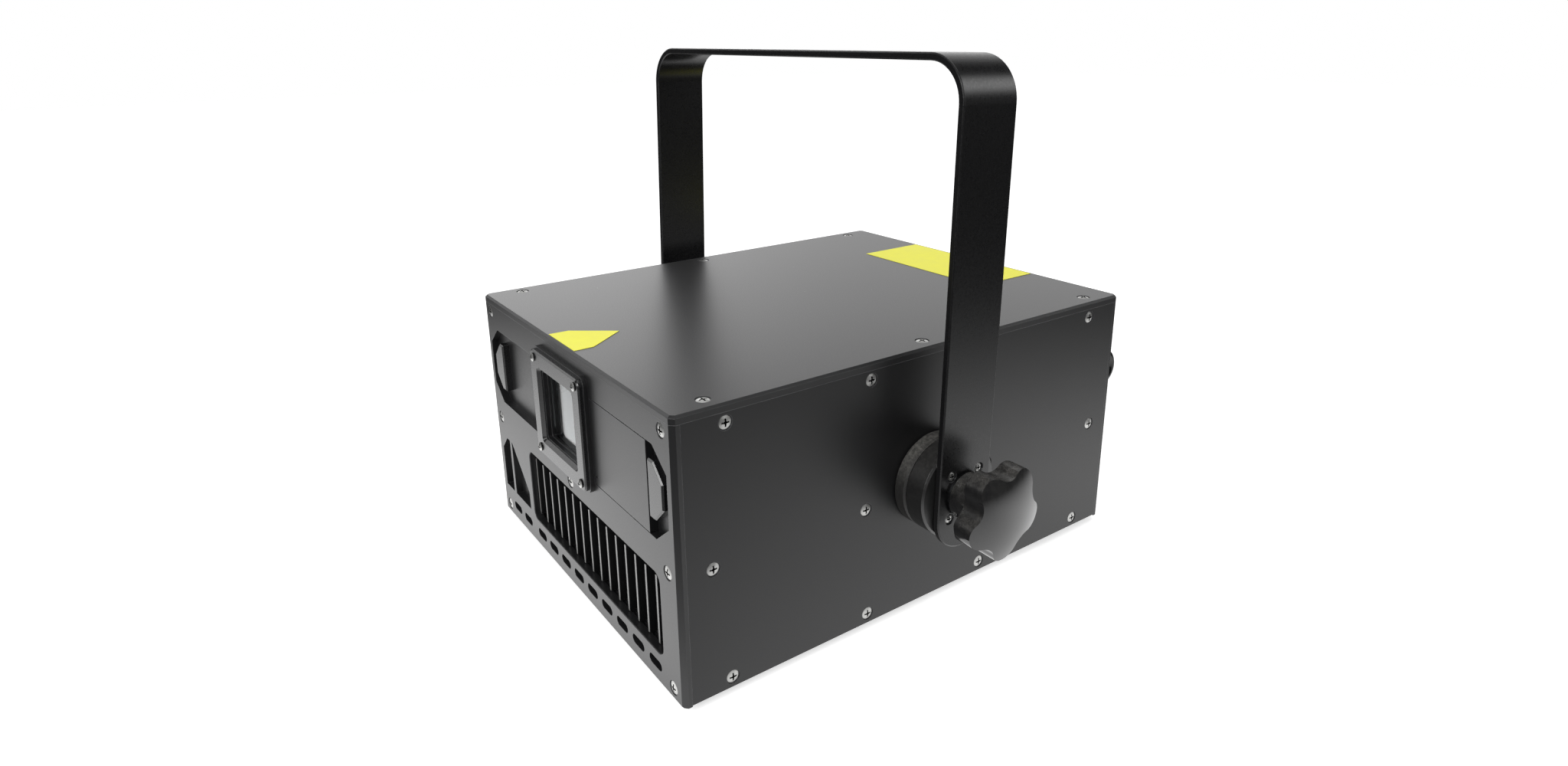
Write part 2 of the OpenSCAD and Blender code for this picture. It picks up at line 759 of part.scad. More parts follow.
// The block that holds both scanner motors at right angles
module galvo_block() color("#3c3f45") {
  plate_w = first_laser_x - laser_w / 2 - 0.5 + 16;
  difference() {
    union() {
      translate([-16, mirror_y - 8, bench_top]) cube([plate_w, 52, 5]);
      translate([-12, mirror_y + 9, bench_top]) cube([24, 26, beam_z - bench_top + motor_r + 4]);
      translate([14, mirror_y - 8, bench_top]) cube([22, 20, bezel_z - bench_top + motor_r + 4]);
    }
    translate([0, 0, beam_z]) y_rod(mirror_y + 9 - cut, 26 + 2 * cut, motor_r + thread_gap);
    translate([0, mirror_y, bezel_z]) x_rod(14 - cut, 22 + 2 * cut, motor_r + thread_gap);
    translate([0, mirror_y, beam_z]) x_rod(14 - cut, 22 + 2 * cut, 4);
    translate([-0.5, mirror_y + 9 - cut, beam_z]) cube([1, 26 + 2 * cut, motor_r + 4 + cut]);
    translate([14 - cut, mirror_y - 0.5, bezel_z]) cube([22 + 2 * cut, 1, motor_r + 4 + cut]);
  }
}

// A scanner motor along +X from its nose, bored for the mirror's shaft
module motor() {
  difference() {
    union() {
      x_rod(0, motor_l, motor_r);
      x_rod(motor_l, 3, motor_r - 2);
    }
    x_rod(-cut, 12 + cut, 1.5 + run_gap);
  }
}

// A mirror on its shaft, the shaft's free end at X = 0 inside the motor
module scan_mirror(l, w) {
  x_rod(-3, 13, 1.5);
  translate([-3, 0, 0]) x_rod(-3, 3, 2.4);
  translate([-6 - l, -w / 2, -0.6]) cube([l, w, 1.2]);
}

module at_motor_x() {
  translate([0, mirror_y + 9, beam_z]) rotate([0, 0, 90]) children();
}

module at_motor_y() {
  translate([14, mirror_y, bezel_z]) children();
}

module galvo_motor_x() color("#c0c3c7") at_motor_x() motor();

module galvo_motor_y() color("#c0c3c7") at_motor_y() motor();

module scan_mirror_x() color("#dfe6ea") at_motor_x() rotate([45, 0, 0]) scan_mirror(7, 9);

module scan_mirror_y() color("#dfe6ea") at_motor_y() rotate([-45, 0, 0]) scan_mirror(16, 8);

module power_supply() color("#b4b6b8") {
  translate([-inner_x + rail_s + 7, -40, base_t]) difference() {
    cube([psu_w, psu_l, psu_h]);
    for (k = [1 : 7]) translate([k * psu_w / 8 - 2, -cut, psu_h * 0.2]) cube([4, 10, psu_h * 0.6]);
  }
}

module control_board() color("#2e6b3f") {
  translate([-inner_x + 11, -50, bench_top]) {
    for (x = [6, board_w - 6], y = [6, board_l - 6]) translate([x, y, 0]) cylinder(r = 3, h = pillar_h);
    translate([0, 0, pillar_h]) cube([board_w, board_l, board_t]);
    for (p = [[0.2, 0.23, 18, 3], [0.55, 0.47, 22, 4], [0.2, 0.73, 20, 10], [0.66, 0.13, 12, 12]])
      translate([p[0] * board_w, p[1] * board_l, pillar_h + board_t]) cube([p[2], p[2], p[3]]);
  }
}

// Rear

module at_rear(p) {
  translate([p[0], 0, p[1]]) children();
}

module fan_guard_2d() {
  for (k = [0 : 2]) difference() {
    circle(fan_hole_r - 8 * k);
    circle(fan_hole_r - 8 * k - 5.5);
    for (a = [0, 90]) rotate(a + 45) square([3, fan_s * 2], center = true);
  }
}

module rear_plate() color("#3a3a3d") {
  difference() {
    rotate(180) end_blank();
    wall(inner_y - cut, end_t + 2 * cut) {
      for (s = [-1, 1]) translate([s * fan_x, fan_z]) fan_guard_2d();
      translate(inlet_at) square([inlet_w + 0.2, inlet_h + 0.2], center = true);
      translate(ilda_at) round_rect(40.2, 10.2, 2);
      translate(display_at) square([display_w + 0.2, display_h + 0.2], center = true);
    }
    at_rear(dmx_in_at) y_rod(inner_y - cut, end_t + 2 * cut, xlr_r + 0.1);
    at_rear(dmx_out_at) y_rod(inner_y - cut, end_t + 2 * cut, xlr_r + 0.1);
    at_rear(key_at) y_rod(inner_y - cut, end_t + 2 * cut, barrel_r + 0.1);
    for (i = [0 : 3]) at_button(i) y_rod(inner_y - cut, end_t + 2 * cut, button_r + 0.3);
    at_rear([eye_x, eye_z]) y_rod(inner_y - cut, end_t + 2 * cut, 4 + thread_gap);
    at_screws(rear_screws) screw_hole();
  }
}

inlet_w = 27;
inlet_h = 40;
flange_t = 2;

module power_inlet() color("#1c1c1e") at_rear(inlet_at) {
  difference() {
    union() {
      wall(rear_y, flange_t) round_rect(inlet_w + 8, inlet_h + 8, 3);
      wall(rear_y - 26, 26) square([inlet_w, inlet_h], center = true);
    }
    translate([0, 0, 7]) wall(rear_y - 14, 14 + flange_t + cut) round_rect(22, 16, 3);
    translate([0, 0, -13]) wall(rear_y + 0.8, flange_t) square([20, 7], center = true);
  }
  for (p = [[-5, 5], [0, 10], [5, 5]]) translate([p[0], 0, p[1] + 1]) wall(rear_y - 14, 12)
    square([2, 4], center = true);
}

xlr_r = 11.8;

module xlr_shell() {
  wall(rear_y, flange_t) round_rect(26, 31, 3);
  y_rod(rear_y - 22, 22, xlr_r);
}

module dmx_in() color("#26262a") at_rear(dmx_in_at) {
  difference() {
    xlr_shell();
    y_rod(rear_y - 14, 14 + flange_t + cut, 9);
  }
  for (a = [0, 90, 180]) rotate([0, a, 0]) translate([5, 0, 0]) y_rod(rear_y - 14, 12, 1.2);
}

module dmx_out() color("#26262a") at_rear(dmx_out_at) {
  difference() {
    xlr_shell();
    for (a = [0, 90, 180]) rotate([0, a, 0]) translate([5, 0, 0])
      y_rod(rear_y - 10, 10 + flange_t + cut, 1.4);
    y_rod(rear_y + flange_t - 0.8, 1.8, 9.4);
  }
}

module ilda_socket() color("#a9adb1") at_rear(ilda_at) {
  wall(rear_y, 1) round_rect(53, 12.5, 2);
  wall(rear_y - 12, 12) round_rect(40, 10, 2);
  difference() {
    wall(rear_y + 1, 5) polygon([[-19.2, 4.2], [19.2, 4.2], [17.8, -4.2], [-17.8, -4.2]]);
    wall(rear_y + 4, 3) polygon([[-18.4, 3.5], [18.4, 3.5], [17.2, -3.5], [-17.2, -3.5]]);
  }
  for (s = [-1, 1]) translate([s * 23.5, 0, 0]) difference() {
    translate([0, rear_y + 1, 0]) rotate([-90, 30, 0]) cylinder(r = 2.8, h = 5, $fn = 6);
    y_rod(rear_y + 2, 5, 1.3);
  }
}

display_w = 44;
display_h = 18;

module display() color("#101418") at_rear(display_at) {
  difference() {
    union() {
      wall(rear_y, 1.6) round_rect(display_w + 6, display_h + 6, 2.5);
      wall(rear_y - 9, 9) square([display_w, display_h], center = true);
    }
    wall(rear_y + 0.8, 2) square([display_w - 4, display_h - 4], center = true);
  }
}

module at_button(i) {
  translate([display_at[0] + (i - 1.5) * button_pitch, 0, button_z]) children();
}

// A button's cap, and the flange that keeps it behind the rear plate
module menu_button(i) {
  at_button(i) {
    y_rod(inner_y - play, end_t + play + button_travel + 1, button_r);
    y_rod(inner_y - play - 1, 1, button_r + 1.4);
  }
}

module menu_button_1() color("#d8d8d8") menu_button(0);

module menu_button_2() color("#d8d8d8") menu_button(1);

module menu_button_3() color("#d8d8d8") menu_button(2);

module menu_button_4() color("#d8d8d8") menu_button(3);

barrel_r = 8;

module key_switch() color("#c9ccd0") at_rear(key_at) {
  difference() {
    union() {
      y_rod(rear_y, 3, barrel_r + 2.5);
      y_rod(rear_y - 24, 24, barrel_r);
      translate([0, inner_y - 3, 0]) rotate([-90, 0, 0]) cylinder(r = barrel_r + 3, h = 3, $fn = 6);
    }
    y_rod(rear_y - 18, 18 + 3 + cut, 5.5 + run_gap);
  }
}

module lock_plug() color("#d9dbdd") at_rear(key_at) {
  difference() {
    y_rod(rear_y - 17, 20.5, 5.5);
    wall(rear_y - 12, 20) square([1.9, 7.2], center = true);
  }
}

module key() color("#c2c4c6") at_rear(key_at) {
  wall(rear_y - 11, 17) square([1.7, 7], center = true);
  translate([-0.9, 0, 0]) rotate([90, 0, 90]) linear_extrude(1.8) difference() {
    translate([rear_y + 14, 0]) round_rect(20, 18, 6);
    translate([rear_y + 19, 0]) circle(3);
  }
}

module safety_eye() color("#161617") at_rear([eye_x, eye_z]) {
  collar = 4;
  y_rod(inner_y - 9, end_t + 9, 4);
  y_rod(rear_y, collar, 8);
  translate([0, inner_y - 6.5, 0]) rotate([-90, 0, 0]) cylinder(r = 7.4, h = 6.5, $fn = 6);
  translate([0, rear_y + collar + eye_r + eye_bar_r - 1.5, 0]) rotate([0, 90, 0])
    rotate_extrude() translate([eye_r, 0]) circle(eye_bar_r);
}

module fan_frame(s) {
  translate([s * fan_x, 0, fan_z]) difference() {
    wall(inner_y - fan_d, fan_d) round_rect(fan_s, fan_s, 4);
    y_rod(inner_y - fan_d + 3, fan_d, fan_hole_r);
    wall(inner_y - fan_d - cut, 4 + cut) difference() {
      circle(fan_hole_r);
      circle(15);
      for (a = [0, 120, 240]) rotate(a) translate([0, -2]) square([fan_s, 4]);
    }
  }
  translate([s * fan_x, 0, fan_z]) y_rod(inner_y - fan_d + 3, 4, 2);
}

module fan_frame_left() color("#1b1b1d") fan_frame(-1);

module fan_frame_right() color("#1b1b1d") fan_frame(1);

module fan_rotor(s) {
  rotor_y = inner_y - fan_d + 3.5;
  translate([s * fan_x, 0, fan_z]) {
    difference() {
      y_rod(rotor_y, 18, 14);
      y_rod(rotor_y - cut, 5 + cut, 2 + run_gap);
    }
    intersection() {
      wall(rotor_y + 2, 15) circle(fan_hole_r - 1);
      for (k = [0 : blade_count - 1]) rotate([0, k * 360 / blade_count, 0])
        translate([13, rotor_y + 9.5, 0]) rotate([40, 0, 0]) cube([fan_s, 22, 1.6], center = false);
    }
  }
}

module fan_rotor_left() color("#222225") fan_rotor(-1);

module fan_rotor_right() color("#222225") fan_rotor(1);

// Yoke and pivots

// Puts upright yoke pieces at the yoke's lean
module lean() {
  translate([0, 0, pivot_z]) rotate([-yoke_lean, 0, 0]) translate([0, 0, -pivot_z]) children();
}

module at_arm_screws() {
  for (s = [-1, 1], y = [-1, 1], z = [-1, 1])
    translate([s * arm_out, y * arm_screw_y, pivot_z + z * arm_screw_z]) rotate([0, s * 90, 0]) children();
}

// The strap's section: its thickness along X, its width along Y, its edges chamfered
module strap_section() {
  w = strap_w / 2;
  polygon([[strap_edge, -w], [strap_t - strap_edge, -w], [strap_t, -w + strap_edge],
    [strap_t, w - strap_edge], [strap_t - strap_edge, w], [strap_edge, w], [0, w - strap_edge],
    [0, -w + strap_edge]]);
}

// The right half of the yoke: round end, arm, bend and half of the top
module yoke_half() {
  tail_z = pivot_z - tail_drop;
  bend_x = arm_out - bend_r;
  bend_z = yoke_top - bend_r;
  translate([arm_in, 0, tail_z]) linear_extrude(bend_z - tail_z) strap_section();
  translate([bend_x, 0, bend_z]) rotate([90, 0, 0]) rotate_extrude(angle = 90)
    translate([bend_r - strap_t, 0]) strap_section();
  translate([bend_x, 0, yoke_top - strap_t]) rotate([0, -90, 0]) linear_extrude(bend_x) strap_section();
  translate([arm_in, 0, tail_z]) rotate([0, 90, 0]) rotate_extrude() intersection() {
    rotate(90) mirror([0, 1]) strap_section();
    square([strap_w, strap_t]);
  }
}

module yoke() color("#1a1a1b") lean() {
  difference() {
    union() {
      yoke_half();
      mirror([1, 0, 0]) yoke_half();
    }
    at_studs() x_rod(arm_in - cut, strap_t + 2 * cut, stud_r + run_gap);
    at_arm_screws() flush_hole(arm_head_r, arm_shank_r, arm_screw_l, arm_sunk);
    translate([0, 0, yoke_top - strap_t - cut]) cylinder(r = clamp_r, h = strap_t + 2 * cut);
    for (s = [-1, 1]) translate([s * side_hole_gap / 2, 0, yoke_top - strap_t - cut])
      cylinder(r = side_hole_r, h = strap_t + 2 * cut);
  }
}

// A disc along X with softened rims and a bore for the stud
module pivot_ring(x, t) {
  translate([x, 0, pivot_z]) rotate([0, 90, 0]) rotate_extrude() difference() {
    translate([stud_r + run_gap, 0]) square([disc_r - stud_r - run_gap, t]);
    for (z = [0, t]) translate([disc_r, z]) rotate(45) square(disc_edge * sqrt(2), center = true);
  }
}

module pivot_disc_right() color("#3b3b3e") pivot_ring(half_w, disc_t);

module pivot_disc_left() color("#3b3b3e") mirror([1, 0, 0]) pivot_ring(half_w, disc_t);

module arm_disc() {
  lean() difference() {
    pivot_ring(disc_face + slip_gap, arm_disc_t);
    at_arm_screws() flush_hole(arm_head_r, arm_shank_r, arm_screw_l, arm_sunk);
  }
}

module arm_disc_right() color("#3b3b3e") arm_disc();

module arm_disc_left() color("#3b3b3e") mirror([1, 0, 0]) arm_disc();

module arm_screws() color("silver") lean() at_arm_screws()
  flush_screw(arm_head_r, arm_shank_r, arm_screw_l, arm_sunk);

// Both pivots, each along its own outward direction
module at_studs() {
  for (s = [0, 1]) translate([0, 0, pivot_z]) mirror([s, 0, 0]) children();
}

// Studs pressed into the side panels from inside, their heads flush with the panels' inner faces
module pivot_studs() color("#a6a9ac") at_studs() {
  x_rod(inner_x, stud_l, stud_r);
  x_rod(inner_x, clinch_t, clinch_r);
}

module washer() {
  translate([0, 0, pivot_z]) difference() {
    x_rod(washer_x, washer_t, washer_r);
    x_rod(washer_x - cut, washer_t + 2 * cut, stud_r + run_gap);
  }
}

module lock_washer_right() color("#c4c6c8") washer();

module lock_washer_left() color("#c4c6c8") mirror([1, 0, 0]) washer();

// The lobed outline of the knob's head: round lobes that run smoothly into round hollows
module star_2d() {
  lobe_at = knob_r - lobe_r;
  along = lobe_at * cos(36);
  hollow_r = (pow(lobe_at, 2) + pow(hollow_depth_r, 2) - pow(lobe_r, 2) - 2 * along * hollow_depth_r)
    / (2 * (lobe_r + along - hollow_depth_r));
  hollow_at = hollow_depth_r + hollow_r;
  rotate(lobe_turn) {
    difference() {
      polygon([for (i = [0 : 4]) for (p = [[lobe_at, 72 * i], [hollow_at, 72 * i + 36]])
        p[0] * [cos(p[1]), sin(p[1])]]);
      for (i = [0 : 4]) rotate(72 * i + 36) translate([hollow_at, 0]) circle(hollow_r + blend);
    }
    for (i = [0 : 4]) rotate(72 * i) translate([lobe_at, 0]) circle(lobe_r);
  }
}

// A knob along X: a neck that flares into a five-lobed head with a rounded face
module knob() {
  back_x = knob_x + neck_l;
  face_r = (knob_r * knob_r + crown_h * crown_h) / (2 * crown_h);
  translate([0, 0, pivot_z]) difference() {
    union() {
      translate([knob_x, 0, 0]) rotate([0, 90, 0])
        cylinder(r1 = neck_r, r2 = neck_r + neck_flare, h = neck_l + 1);
      intersection() {
        translate([back_x, 0, 0]) rotate([90, 0, 90]) linear_extrude(knob_t + crown_h) star_2d();
        translate([back_x, 0, 0]) rotate([0, 90, 0]) rotate_extrude() intersection() {
          translate([0, knob_t + crown_h - face_r]) circle(face_r, $fn = 200);
          polygon([[0, 0], [knob_r - 1, 0], [knob_r, 1], [knob_r, knob_t - rim_r],
            [knob_r - rim_r, knob_t + crown_h], [0, knob_t + crown_h]]);
        }
      }
    }
    x_rod(knob_x - cut, inner_x + stud_l + 2 + cut - knob_x, stud_r + run_gap);
  }
}

module lock_knob_right() color("#0e0e0f") knob();

module lock_knob_left() color("#0e0e0f") mirror([1, 0, 0]) knob();

base_plate();
lower_rails();
upper_rails();
side_panel_left();
side_panel_right();
front_plate();
front_backing();
end_block_left();
end_block_right();
cover_panel();
aperture_spacer();
aperture_bezel();
aperture_glass();
rear_plate();
lid();
rubber_feet();
panel_screws();
bezel_screws();
optical_bench();
heatsink();
laser_red();
laser_green();
laser_blue();
combiner_mounts();
combiner_optics();
galvo_block();
galvo_motor_x();
galvo_motor_y();
scan_mirror_x();
scan_mirror_y();
power_supply();
control_board();
power_inlet();
dmx_in();
dmx_out();
ilda_socket();
display();
menu_button_1();
menu_button_2();
menu_button_3();
menu_button_4();
key_switch();
lock_plug();
key();
safety_eye();
fan_frame_left();
fan_frame_right();
fan_rotor_left();
fan_rotor_right();
yoke();
pivot_disc_left();
pivot_disc_right();
arm_disc_left();
arm_disc_right();
pivot_studs();
arm_screws();
lock_washer_left();
lock_washer_right();
lock_knob_left();
lock_knob_right();
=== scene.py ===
"""Looks of a laser show projector: a black anodised housing in a powder-coated tilting yoke."""
import math

import bmesh
import bpy
from mathutils import Matrix, Vector


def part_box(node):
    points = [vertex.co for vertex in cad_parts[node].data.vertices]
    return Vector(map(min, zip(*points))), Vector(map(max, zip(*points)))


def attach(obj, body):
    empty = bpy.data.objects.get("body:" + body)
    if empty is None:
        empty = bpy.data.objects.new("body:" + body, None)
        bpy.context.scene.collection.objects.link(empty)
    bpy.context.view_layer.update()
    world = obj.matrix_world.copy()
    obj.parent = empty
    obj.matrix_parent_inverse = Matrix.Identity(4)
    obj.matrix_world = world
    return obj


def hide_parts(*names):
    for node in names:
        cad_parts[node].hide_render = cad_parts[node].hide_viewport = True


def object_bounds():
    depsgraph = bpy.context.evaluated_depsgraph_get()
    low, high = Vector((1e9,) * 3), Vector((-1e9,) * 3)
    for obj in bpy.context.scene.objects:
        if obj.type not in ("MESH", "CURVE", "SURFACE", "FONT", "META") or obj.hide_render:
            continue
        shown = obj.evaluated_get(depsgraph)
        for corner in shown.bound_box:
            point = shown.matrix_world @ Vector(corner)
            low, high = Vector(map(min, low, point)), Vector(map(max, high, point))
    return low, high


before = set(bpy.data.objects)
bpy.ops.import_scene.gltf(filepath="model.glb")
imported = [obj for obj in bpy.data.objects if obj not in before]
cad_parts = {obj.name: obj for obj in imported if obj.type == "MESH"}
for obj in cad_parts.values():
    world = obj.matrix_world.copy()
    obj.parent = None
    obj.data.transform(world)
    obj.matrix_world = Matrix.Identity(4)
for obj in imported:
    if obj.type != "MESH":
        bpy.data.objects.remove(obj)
cad_low, cad_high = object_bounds()
scene = bpy.context.scene
scene.view_settings.view_transform = "Standard"

# The camera stands at the front right corner, a little above the lid, with a wide lens.
# Its place, tilt and lens were solved from the housing's edges and screw rows. The small shift
# is the photograph's crop, which leaves more room below the object than above it.
camera_at = (0.5173, -0.3789, 0.3583)
camera_azimuth, camera_elevation, camera_roll = 55.006, 16.726, -0.743
picture_w, picture_h = 2048, 1000
focal_pixels = 1197.6
optical_axis = (1015.1, 400.4)
lens = bpy.data.cameras.new("camera")
lens.sensor_width = 36.0
lens.lens = lens.sensor_width * focal_pixels / picture_w
lens.shift_x = (picture_w / 2 - optical_axis[0]) / picture_w
lens.shift_y = (optical_axis[1] - picture_h / 2) / picture_w
camera = bpy.data.objects.new("camera", lens)
scene.collection.objects.link(camera)
turn = (Matrix.Rotation(math.radians(camera_azimuth), 4, "Z")
        @ Matrix.Rotation(math.radians(90 - camera_elevation), 4, "X")
        @ Matrix.Rotation(math.radians(camera_roll), 4, "Z"))
camera.matrix_world = Matrix.Translation(camera_at) @ turn
scene.camera = camera


# The studio is a pale sheet of paper in a room that is dark behind the camera. Lamps and a soft
# white sky light the object. What shines shows the paper, the white wall behind the object, and
# two bright strips hung high: one from its rear to its right, and a weaker one at its front left.
def linear(hex_colour):
    """An sRGB hex colour as linear red, green, blue and alpha."""
    channels = [int(hex_colour[i:i + 2], 16) / 255 for i in (1, 3, 5)]
    return (*(c / 12.92 if c <= 0.04045 else ((c + 0.055) / 1.055) ** 2.4 for c in channels), 1.0)


def add_node(tree, kind, inputs=None, **settings):
    """Adds a node with its settings. A socket given as an input is linked, a value is set."""
    made = tree.nodes.new(kind)
    for name, value in settings.items():
        setattr(made, name, value)
    for socket, value in (inputs or {}).items():
        if isinstance(value, bpy.types.NodeSocket):
            tree.links.new(value, made.inputs[socket])
        else:
            made.inputs[socket].default_value = value
    return made


def soft_steps(tree, *steps):
    """The product of soft steps. Each is a row of what it runs along, where it starts and ends
    there, and the level before its start and after its end."""
    levels = [add_node(tree, "ShaderNodeMapRange",
                       {"Value": along, 1: start, 2: end, 3: before, 4: after},
                       interpolation_type="SMOOTHSTEP").outputs[0]
              for along, start, end, before, after in steps]
    product = levels[0]
    for level in levels[1:]:
        product = add_node(tree, "ShaderNodeMath", {0: product, 1: level},
                           operation="MULTIPLY").outputs[0]
    return product


def by_ray(tree, for_light, for_shine, for_camera):
    """Mixes what lights the object, what shines in it, and what the camera sees."""
    path = add_node(tree, "ShaderNodeLightPath").outputs
    shine = add_node(tree, "ShaderNodeMath",
                     {0: path["Is Glossy Ray"], 1: path["Is Transmission Ray"]},
                     operation="MAXIMUM").outputs[0]
    unseen = add_node(tree, "ShaderNodeMixShader", {0: shine, 1: for_light, 2: for_shine})
    return add_node(tree, "ShaderNodeMixShader",
                    {0: path["Is Camera Ray"], 1: unseen.outputs[0], 2: for_camera}).outputs[0]


white = linear("#ffffff")
room_glow = 0.05
world = bpy.data.worlds.new("studio")
world.use_nodes = True
scene.world = world
sky = world.node_tree
sky.nodes.clear()
direction = add_node(sky, "ShaderNodeTexCoord").outputs["Generated"]
to_right, to_rear, height = add_node(sky, "ShaderNodeSeparateXYZ", {0: direction}).outputs
to_left = add_node(sky, "ShaderNodeMath", {0: to_right, 1: -1.0}, operation="MULTIPLY").outputs[0]
# Bearings are in radians, from the object's left by way of its rear. Heights are the sine of
# the elevation.
bearing = add_node(sky, "ShaderNodeMath", {0: to_rear, 1: to_left}, operation="ARCTAN2").outputs[0]
wall = soft_steps(sky,
                  (bearing, -0.15, 0.25, 0.02, 1.0),
                  (bearing, 0.35, 0.75, 2.35, 1.4),
                  (bearing, 1.05, 1.5, 1.0, room_glow),
                  (height, 0.1, 0.7, 1.2, 0.3))
strip_glow = soft_steps(sky, (height, 0.2, 0.38, 0.0, 3.4), (height, 0.52, 0.68, 1.0, 0.0))
right_strip = soft_steps(sky, (bearing, 1.85, 2.05, 0.0, 1.0))
left_strip = soft_steps(sky, (bearing, -0.8, -0.6, 0.0, 0.6), (bearing, -0.2, -0.05, 1.0, 0.0))
strips = add_node(sky, "ShaderNodeMath", {0: right_strip, 1: left_strip},
                  operation="ADD").outputs[0]
mirrored = add_node(sky, "ShaderNodeMath", {0: strip_glow, 1: strips, 2: wall},
                    operation="MULTIPLY_ADD").outputs[0]
dome = soft_steps(sky, (height, -0.2, 0.9, 0.25, 0.7))
backdrop = 1.0
skies = [add_node(sky, "ShaderNodeBackground", {"Color": white, "Strength": strength}).outputs[0]
         for strength in (dome, mirrored, backdrop)]
add_node(sky, "ShaderNodeOutputWorld", {"Surface": by_ray(sky, *skies)})

# What shines sees a pool of light on the paper, which fades from the object into the room.
# Right of the object the pool is darker to the front and brighter to the rear, and before the
# object's face it is half as bright again.
floor_paper = bpy.data.materials.new("floor_paper")
floor_paper.use_nodes = True
paper = floor_paper.node_tree
paper.nodes.clear()
pool_centre = (-0.1, 0.08, 0.0)
paper_glow = 0.6
place = add_node(paper, "ShaderNodeTexCoord").outputs["Object"]
across, along, _ = add_node(paper, "ShaderNodeSeparateXYZ", {0: place}).outputs
from_pool = add_node(paper, "ShaderNodeVectorMath", {0: place, 1: pool_centre},
                     operation="SUBTRACT").outputs[0]
reach = add_node(paper, "ShaderNodeVectorMath", {0: from_pool},
                 operation="LENGTH").outputs["Value"]
ends = add_node(paper, "ShaderNodeMath",
                {0: soft_steps(paper, (along, -0.3, -0.1, -0.65, 0.0)),
                 1: soft_steps(paper, (along, 0.04, 0.2, 0.0, 0.42))},
                operation="ADD").outputs[0]
beside = add_node(paper, "ShaderNodeMath",
                  {0: soft_steps(paper, (across, 0.12, 0.24, 0.0, 1.0)), 1: ends, 2: 1.0},
                  operation="MULTIPLY_ADD").outputs[0]
ahead = add_node(paper, "ShaderNodeMath",
                 {0: soft_steps(paper, (along, -0.21, -0.17, 1.0, 0.0),
                                (across, 0.12, 0.2, 0.5, 0.0)), 1: 1.0},
                 operation="ADD").outputs[0]
pool_light = soft_steps(paper, (reach, 0.24, 0.9, 1.3, room_glow))
for share in (beside, ahead):
    pool_light = add_node(paper, "ShaderNodeMath", {0: pool_light, 1: share},
                          operation="MULTIPLY").outputs[0]
bounce = add_node(paper, "ShaderNodeBsdfDiffuse", {"Color": linear("#a4a4a4")})
pool = add_node(paper, "ShaderNodeEmission", {"Color": white, "Strength": pool_light})
matte = add_node(paper, "ShaderNodeBsdfDiffuse", {"Color": linear("#e6e6e6")})
glow = add_node(paper, "ShaderNodeEmission", {"Color": white, "Strength": paper_glow})
lit = add_node(paper, "ShaderNodeAddShader", {0: matte.outputs[0], 1: glow.outputs[0]})
shown = by_ray(paper, bounce.outputs[0], pool.outputs[0], lit.outputs[0])
add_node(paper, "ShaderNodeOutputMaterial", {"Surface": shown})
floor_half = 6.0
floor_corners = [(x * floor_half, y * floor_half, cad_low.z)
                 for x, y in ((-1, -1), (1, -1), (1, 1), (-1, 1))]
floor_mesh = bpy.data.meshes.new("floor")
floor_mesh.from_pydata(floor_corners, [], [(0, 1, 2, 3)])
floor_mesh.materials.append(floor_paper)
floor = bpy.data.objects.new("floor", floor_mesh)
scene.collection.objects.link(floor)

# Two soft boxes are turned to the object's middle, one from the front and one from overhead.
# They are weak enough that a pale colour renders about as it is written.
lamp_target = Vector((0.0, 0.0, 0.1))
for name, lamp_at, size, watts in (("front_box", (0.75, -1.9, 1.15), (1.1, 0.9), 30.0),
                                   ("top_box", (0.1, 0.2, 2.2), (1.6, 1.6), 13.0)):
    lamp = bpy.data.lights.new(name, "AREA")
    lamp.shape = "RECTANGLE"
    lamp.size, lamp.size_y = size
    lamp.energy = watts
    soft_box = bpy.data.objects.new(name, lamp)
    soft_box.location = lamp_at
    soft_box.rotation_mode = "QUATERNION"
    soft_box.rotation_quaternion = (lamp_target - Vector(lamp_at)).to_track_quat("-Z", "Y")
    scene.collection.objects.link(soft_box)


# The housing's sheets are aluminium plate, bead blasted and dyed black in the anodising bath.
# The blasting leaves a fine even grit, and the oxide skin reflects like dull glass, so the
# faces look grey at a grazing angle and black head on. Edges are broken by 0.3 mm.
def per_mm(size_mm):
    """The scale of a pattern whose patches are size_mm wide."""
    return 1000.0 / size_mm


def new_material(name, constants):
    """A material of one shader, with constants on its sockets."""
    material = bpy.data.materials.new(name)
    material.use_nodes = True
    tree = material.node_tree
    tree.nodes.clear()
    shader = add_node(tree, "ShaderNodeBsdfPrincipled", constants)
    add_node(tree, "ShaderNodeOutputMaterial", {"Surface": shader.outputs[0]})
    return material


def shader_of(material):
    """The shader that new_material gave it."""
    return material.node_tree.nodes["Principled BSDF"]


def give_grain(material, grain_mm, depth_mm, edge_mm=0.3, detail=3.0):
    """Gives a surface its blasted or cast grain and its broken edges, and returns the grain."""
    tree = material.node_tree
    place = add_node(tree, "ShaderNodeTexCoord").outputs["Object"]
    grain = add_node(tree, "ShaderNodeTexNoise", {"Vector": place, "Scale": per_mm(grain_mm),
                                                  "Detail": detail, "Roughness": 0.6}).outputs[0]
    edge = add_node(tree, "ShaderNodeBevel", {"Radius": edge_mm / 1000}, samples=4).outputs[0]
    bump = add_node(tree, "ShaderNodeBump", {"Strength": 1.0, "Distance": depth_mm / 1000,
                                             "Height": grain, "Normal": edge}).outputs[0]
    tree.links.new(bump, shader_of(material).inputs["Normal"])
    return grain


